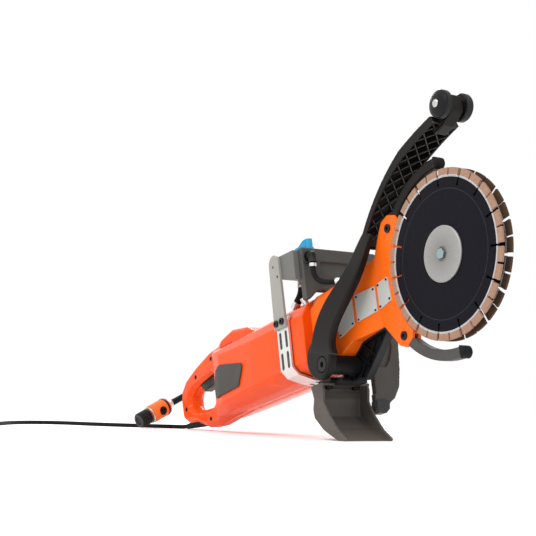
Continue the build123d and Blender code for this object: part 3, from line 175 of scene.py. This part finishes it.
winding = new_material("winding", (0.45, 0.16, 0.05), 0.4, metallic=0.7, bump=0.3)
carbon = new_material("carbon", (0.02, 0.02, 0.022), 0.6)

# ---------------------------------------------------------------- blades
BLADE_R = 0.118                   # a little more than the blade's radius; the rings are shares of it
CORE, PRINTED_LINE, RIM = (0.006, 0.0055, 0.009), (0.05, 0.05, 0.056), (0.42, 0.42, 0.43)
LINE_FROM, LINE_TO, RIM_FROM, SEGMENTS_FROM = 0.735, 0.741, 0.868, 0.893
CORE_ROUGHNESS, SEGMENT_ROUGHNESS = 0.34, 0.75
GRIT_SCALE, GRIT_DETAIL, GRIT_RELIEF = 420, 6, 0.25
SPECKLE_DARK, SPECKLE_LIGHT = 0.62, 1.35


def vector_step(tree, operation, first, second=None):
    """Vector maths node on one linked value and, where given, one constant."""
    made = tree.nodes.new("ShaderNodeVectorMath")
    made.operation = operation
    tree.links.new(first, made.inputs[0])
    if second is not None:
        made.inputs[1].default_value = second
    return made


def stepped(tree, share, stops):
    """Colour by share of the radius, with hard steps at the given (share, colour) stops."""
    made = tree.nodes.new("ShaderNodeValToRGB")
    ramp = made.color_ramp
    ramp.interpolation = "CONSTANT"
    ramp.elements[0].color = (*stops[0][1], 1)
    ramp.elements[1].position = stops[-1][0]
    ramp.elements[1].color = (*stops[-1][1], 1)
    for position, colour in stops[1:-1]:
        ramp.elements.new(position).color = (*colour, 1)
    tree.links.new(share, made.inputs["Fac"])
    return made.outputs["Color"]


def blade_material(name, segment_colour):
    """Black painted core, bare steel rim and sintered segments, told apart by distance from the axle."""
    made = new_material(name, CORE, 0.3, shine=0.06, bump=0.03)
    tree = made.node_tree
    shader = tree.nodes["Principled BSDF"]
    place = tree.nodes["Texture Coordinate"]
    offset = vector_step(tree, "SUBTRACT", place.outputs["Object"], AXLE)
    flat = vector_step(tree, "MULTIPLY", offset.outputs["Vector"], (1, 0, 1))
    radius = vector_step(tree, "LENGTH", flat.outputs["Vector"])
    share = tree.nodes.new("ShaderNodeMath")
    share.operation = "DIVIDE"
    share.inputs[1].default_value = BLADE_R
    tree.links.new(radius.outputs["Value"], share.inputs[0])
    rings = stepped(tree, share.outputs["Value"], [
        (0, CORE), (LINE_FROM, PRINTED_LINE), (LINE_TO, CORE), (RIM_FROM, RIM),
        (SEGMENTS_FROM, segment_colour)])
    grit = noise(tree, place, GRIT_SCALE, GRIT_DETAIL)
    shaded = vector_step(tree, "SCALE", rings)
    tree.links.new(remapped(tree, grit, SPECKLE_DARK, SPECKLE_LIGHT), shaded.inputs["Scale"])
    tree.links.new(shaded.outputs["Vector"], shader.inputs["Base Color"])
    zone = stepped(tree, share.outputs["Value"], [
        (0, (CORE_ROUGHNESS,) * 3), (SEGMENTS_FROM, (SEGMENT_ROUGHNESS,) * 3)])
    tree.links.new(zone, shader.inputs["Roughness"])
    relief = tree.nodes["Bump"]
    relief.inputs["Strength"].default_value = GRIT_RELIEF
    tree.links.new(grit, relief.inputs["Height"])
    return made


blade_front = blade_material("blade_front", (0.33, 0.195, 0.135))
# The back blade's segments take a far darker colour than the front blade's alike segments: painted shade
# where they sit behind the front blade.
blade_back_shaded = blade_material("blade_back_shaded", (0.075, 0.045, 0.028))

# ---------------------------------------------------------------- which piece has which
FINISH = {
    orange_shell: ["housing_right", "housing_left", "hump_cover"],
    orange_metal: ["arm_right", "arm_left", "coupling_body"],
    dark_cover: ["brush_cover_right", "brush_cover_left"],
    grey_moulding: ["splash_shield", "front_grip", "hoop_lower"],
    scoop_moulding: ["scoop_foot"],
    limb_moulding: ["swing_guard", "hoop_upper"],
    black_rubber: ["hoop_bumpers", "drive_belt", "cable_boot", "arm_water_hose", "body_water_hose",
                   "rear_hose", "power_cord", "band_pad"],
    black_plastic: ["wheel_right", "wheel_left", "cooling_fan", "rear_bracket", "trigger",
                    "lockout_button", "switch_module", "valve_body", "water_elbow", "coupling_nut",
                    "plug", "shield_cap"],
    cast_bracket: ["foot_bracket"],
    bare_aluminium: ["arm_cover_plates", "gear_case"],
    plate_grey: ["side_plate_right", "side_plate_left"],
    bright_aluminium: ["band_bracket", "hose_clamps", "hose_fittings", "wheel_axle"],
    matte_flange: ["blade_flanges"],
    zinc: ["blade_bolts"],
    polished_steel: ["blade_spindle", "bearings", "bevel_gear", "bevel_pinion", "output_shaft"],
    dark_steel: ["guard_pivot_bolt", "hoop_screws", "rotor", "housing_screws", "bracket_bolts"],
    winding: ["motor_stator"],
    carbon: ["carbon_brushes"],
    blue_knob: ["valve_knob"],
    blade_front: ["blade_right"],
    # the left blade takes the copy whose segments carry painted shade
    blade_back_shaded: ["blade_left"],
}
for finish, names in FINISH.items():
    for name in names:
        surface = nodes[name].data.materials
        surface.clear()
        surface.append(finish)


# ================================================================ rounded edges on the CAD pieces
ROUNDING = {  # millimetres
    "coupling_body": 0.8, "hose_fittings": 0.4, "front_grip": 1.2, "band_bracket": 0.7,
    "side_plate_right": 0.8, "side_plate_left": 0.8, "arm_cover_plates": 0.35, "blade_flanges": 0.4,
    "valve_knob": 1.2, "hoop_bumpers": 0.8, "foot_bracket": 0.5, "blade_right": 0.25,
    "blade_left": 0.25, "plug": 0.8, "water_elbow": 0.4,
}


def rounded(piece, width, sharpest):
    """Bevel, width in millimetres, on edges sharper than the given angle in degrees."""
    edge = piece.modifiers.new("edges", "BEVEL")
    edge.width = width / 1000
    edge.segments = 2
    edge.limit_method = "ANGLE"
    edge.angle_limit = radians(sharpest)


for name, width in ROUNDING.items():
    rounded(nodes[name], width, 35)

# ================================================================ moulded and cast pieces
MOULDED = [  # CAD piece, voxel in millimetres, smoothing steps, body, finish
    ("housing_right", 1.3, 5, "machine", orange_shell),
    ("housing_left", 1.3, 5, "machine", orange_shell),
    ("hump_cover", 1.2, 5, "machine", orange_shell),
    ("brush_cover_right", 0.8, 3, "machine", dark_cover),
    ("brush_cover_left", 0.8, 3, "machine", dark_cover),
    ("arm_right", 1.1, 4, "machine", orange_metal),
    ("arm_left", 1.1, 4, "machine", orange_metal),
    ("swing_guard", 0.9, 3, "guard", limb_moulding),
    ("scoop_foot", 1.0, 4, "machine", scoop_moulding),
    ("splash_shield", 1.2, 4, "machine", grey_moulding),
    ("hoop_upper", 0.9, 3, "machine", limb_moulding),
    ("hoop_lower", 0.9, 3, "machine", grey_moulding),
]


def softened(name, voxel, steps, body, finish):
    """Copy of a moulded or cast CAD piece with its edges rounded; it stands for that piece."""
    made = bpy.data.objects.new(name + "_moulded", nodes[name].data.copy())
    bpy.context.scene.collection.objects.link(made)
    grid = made.modifiers.new("grid", "REMESH")
    grid.mode = "VOXEL"
    grid.voxel_size = voxel / 1000
    grid.use_smooth_shade = True
    soft = made.modifiers.new("soft", "SMOOTH")
    soft.factor = 0.5
    soft.iterations = steps
    made.data.materials.clear()
    made.data.materials.append(finish)
    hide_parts(name)
    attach(made, body)


for row in MOULDED:
    softened(*row)


# ================================================================ small fittings left out of the CAD
def turned(name, start, direction, outline, finish, sides=48):
    """Turned piece on an axis; its outline is a closed list of (millimetres along, radius) points."""
    mesh = bpy.data.meshes.new(name)
    shape = bmesh.new()
    axis = direction.normalized()
    across = axis.orthogonal().normalized()
    over = axis.cross(across)
    rings = []
    for step in range(sides):
        turn = 2 * pi * step / sides
        outward = across * cos(turn) + over * sin(turn)
        rings.append([shape.verts.new(start + (axis * along + outward * radius) / 1000)
                      for along, radius in outline])
    for ring, following in zip(rings, rings[1:] + rings[:1]):
        for index in range(len(outline)):
            after = (index + 1) % len(outline)
            shape.faces.new((ring[index], ring[after], following[after], following[index]))
    bmesh.ops.recalc_face_normals(shape, faces=shape.faces)
    shape.to_mesh(mesh)
    shape.free()
    made = bpy.data.objects.new(name, mesh)
    bpy.context.scene.collection.objects.link(made)
    mesh.materials.append(finish)
    rounded(made, 0.2, 30)
    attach(made, "machine")


SCREW_HEAD = [(-0.3, 0.2), (-0.3, 1.7), (0.9, 1.5), (0.9, 0.2)]
FRONT_SCREWS = (-146, 1), (-126, 3.5), (-123.5, -25), (-146, -30.5)   # u and v, on the arm's flat fin
FRONT_SCREW_D = 10.3              # 0.6 above the front plate's outer face
FACETS = [                        # (u, d) at each end of a slanting side, and (along, v) of its screws
    ((-152, 8.6), (-192, 20), ((5, -2), (37, -5), (37, -39), (5, -33))),
    ((-194, 20.5), (-262, 41.5), ((5, -6), (29, -9), (29, -54), (5, -42))),
]
PLATE_FACE = 1.75                 # a plate's outer face, above the arm's slanting side

screws = [(at(u, v, FRONT_SCREW_D), RIGHT) for u, v in FRONT_SCREWS]
for front_end, rear_end, corners in FACETS:
    run = (Vector(rear_end) - Vector(front_end)).normalized()
    facing = Vector((run.y, -run.x))
    outward = (FORWARD * facing.x + RIGHT * facing.y).normalized()
    for along, v in corners:
        foot = Vector(front_end) + run * along + facing * PLATE_FACE
        screws.append((at(foot.x, v, foot.y), outward))
for number, (place, outward) in enumerate(screws):
    turned(f"plate_screw_{number:02d}", place, outward, SCREW_HEAD, blued_steel, sides=16)


# ================================================================ hoses and the power lead
def line(name, points, diameter, finish):
    """Round flexible line on one smooth curve that follows the given control points."""
    curve = bpy.data.curves.new(name, "CURVE")
    curve.dimensions = "3D"
    curve.bevel_depth = diameter / 2
    curve.bevel_resolution = 6
    curve.use_fill_caps = True
    curve.resolution_u = 12
    spline = curve.splines.new("NURBS")
    spline.points.add(len(points) - 1)
    for control, place in zip(spline.points, points):
        control.co = (*place, 1)
    spline.order_u = 3
    spline.use_endpoint_u = True
    made = bpy.data.objects.new(name, curve)
    bpy.context.scene.collection.objects.link(made)
    curve.materials.append(finish)
    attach(made, "machine")
    return made


# ---------------------------------------------------------------- power lead, from the boot to the plug
CORD_D = 0.0072
BOOT_ROOT, BOOT_END = at(-700, -84.9), at(-778, -79.05)
ALONG_BOOT = (BOOT_END - BOOT_ROOT).normalized()
PLUG_AT, PLUG_WAY = Vector((-0.659, -0.376, 0.014)), Vector((0.76, -0.65, 0)).normalized()
ON_THE_FLOOR = [(-592, -13), (-626, -37), (-664, -67), (-706, -93), (-752, -112), (-800, -125), (-842, -144),
                (-865, -176), (-860, -214), (-834, -245), (-798, -270), (-760, -294), (-724, -320)]
lead_points = [BOOT_END - ALONG_BOOT * 0.0118, BOOT_END + ALONG_BOOT * 0.009 + Vector((0, 0, 0.00005))]
lead_points += [in_metres(x, y, CORD_D / 2 * 1000) for x, y in ON_THE_FLOOR]
lead_points += [in_metres(-704, -338, 5), in_metres(-683, -355.5, 11.8), PLUG_AT - PLUG_WAY * 0.0004]
lead = line("power_lead", lead_points, CORD_D, black_rubber)
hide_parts("power_cord")

# ---------------------------------------------------------------- water coupling and its hose
HOSE_D = 0.012
NUT = Vector((-0.584, -0.076, 0.0194))                    # middle of the coupling's nut
INLET = Vector((-0.189, 0.891, 0.413)).normalized()       # along the coupling towards the hose
BUTTON_OUT = Vector((1, 0.212, 0))
BUTTON = [(12, 0.5), (12, 8), (16.6, 8), (17.6, 6.5), (17.6, 0.5)]
SPIGOT_CAP = [(-13.9, 0.5), (-13.9, 7.5), (-12.8, 7.5), (-12.8, 0.5)]
SEAL = [(10, 9), (10, 15.4), (12.6, 15.9), (12.6, 9)]
END_RING = [(46.5, 14), (46.5, 17.1), (50.5, 16.6), (50.5, 14)]
FERRULE = [(60.5, 6.05), (60.5, 7.3), (66, 7.3), (66, 6.05)]
turned("coupling_button", NUT + INLET * 0.033, BUTTON_OUT, BUTTON, black_plastic)
turned("spigot_cap", NUT, INLET, SPIGOT_CAP, black_plastic)
turned("coupling_seal", NUT, INLET, SEAL, bright_aluminium)
turned("coupling_end_ring", NUT, INLET, END_RING, black_plastic)
turned("inlet_ferrule", NUT, INLET, FERRULE, bright_aluminium)

BEHIND_HANDLE = [(-604, 24, 66), (-595, 46, 77.5), (-571, 60, 83), (-538, 61, 87), (-502, 56, 91.5),
                 (-466, 50, 97)]
inlet_points = [NUT + INLET * 0.0541, NUT + INLET * 0.082]
inlet_points += [in_metres(*place) for place in BEHIND_HANDLE]
inlet_points += [at(-634, -10, -45), at(-613, -10, -45)]
inlet = line("inlet_hose", inlet_points[::-1], HOSE_D, black_rubber)
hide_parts("rear_hose")

# ---------------------------------------------------------------- hose from the elbow to the arm
ARM_HOSE_D = 0.008
arm_points = [at(-246, 64.4, 48), at(-248, 51, 48.5), at(-247, 39, 44), at(-238, 31.5, 35.5),
              at(-226, 30, 25)]
arm_line = line("arm_hose", arm_points, ARM_HOSE_D, black_rubber)
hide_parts("arm_water_hose")

# ================================================================ studio
HALF = 60.0                       # half the floor's side
floor_mesh = bpy.data.meshes.new("floor")
floor_mesh.from_pydata([(-HALF, -HALF, 0), (HALF, -HALF, 0), (HALF, HALF, 0), (-HALF, HALF, 0)], [],
                       [(0, 1, 2, 3)])
floor = bpy.data.objects.new("floor", floor_mesh)
bpy.context.scene.collection.objects.link(floor)
pale = bpy.data.materials.new("pale_floor")
pale.use_nodes = True
floor_shader = pale.node_tree.nodes["Principled BSDF"]
floor_shader.inputs["Base Color"].default_value = (1, 1, 1, 1)
floor_shader.inputs["Roughness"].default_value = 0.7
floor_shader.inputs["Specular IOR Level"].default_value = 0
floor_mesh.materials.append(pale)

world = bpy.data.worlds.new("studio")
world.use_nodes = True
backdrop = world.node_tree.nodes["Background"]
backdrop.inputs["Color"].default_value = (1, 1, 1, 1)
backdrop.inputs["Strength"].default_value = 1.0
bpy.context.scene.world = world

LIT_PLACE = Vector((-0.1, 0, 0.2))


def soft_light(name, place, size, power):
    """Round area light that faces the middle of the machine."""
    data = bpy.data.lights.new(name, "AREA")
    data.shape = "DISK"
    data.size = size
    data.energy = power
    lamp = bpy.data.objects.new(name, data)
    bpy.context.scene.collection.objects.link(lamp)
    lamp.location = place
    lamp.rotation_euler = (LIT_PLACE - Vector(place)).to_track_quat("-Z", "Y").to_euler()


soft_light("key", (0.6, -1.6, 1.9), 1.2, 26)
soft_light("rim", (-1.6, 0.9, 1.6), 1.0, 22)

# ---------------------------------------------------------------- camera
AIM = Vector((-0.0995, -0.1070, 0.2513))
AZIMUTH, ELEVATION, ROLL, DISTANCE = radians(59.204), radians(-6.4975), radians(0.977), 1.711
FOCAL_LENGTH, PICTURE = 1150, 536  # both in pixels
SENSOR = 36
back = Vector((sin(AZIMUTH) * cos(ELEVATION), -cos(AZIMUTH) * cos(ELEVATION), sin(ELEVATION)))
level = Vector((cos(AZIMUTH), sin(AZIMUTH), 0))
upright = back.cross(level)
right_way = level * cos(ROLL) + upright * sin(ROLL)
camera_data = bpy.data.cameras.new("camera")
camera_data.lens = FOCAL_LENGTH / PICTURE * SENSOR
camera_data.sensor_width = SENSOR
camera = bpy.data.objects.new("camera", camera_data)
bpy.context.scene.collection.objects.link(camera)
facing_back = Matrix((right_way, back.cross(right_way), back)).transposed().to_4x4()
camera.matrix_world = Matrix.Translation(AIM + back * DISTANCE) @ facing_back
bpy.context.scene.camera = camera
bpy.context.scene.view_settings.view_transform = "Standard"
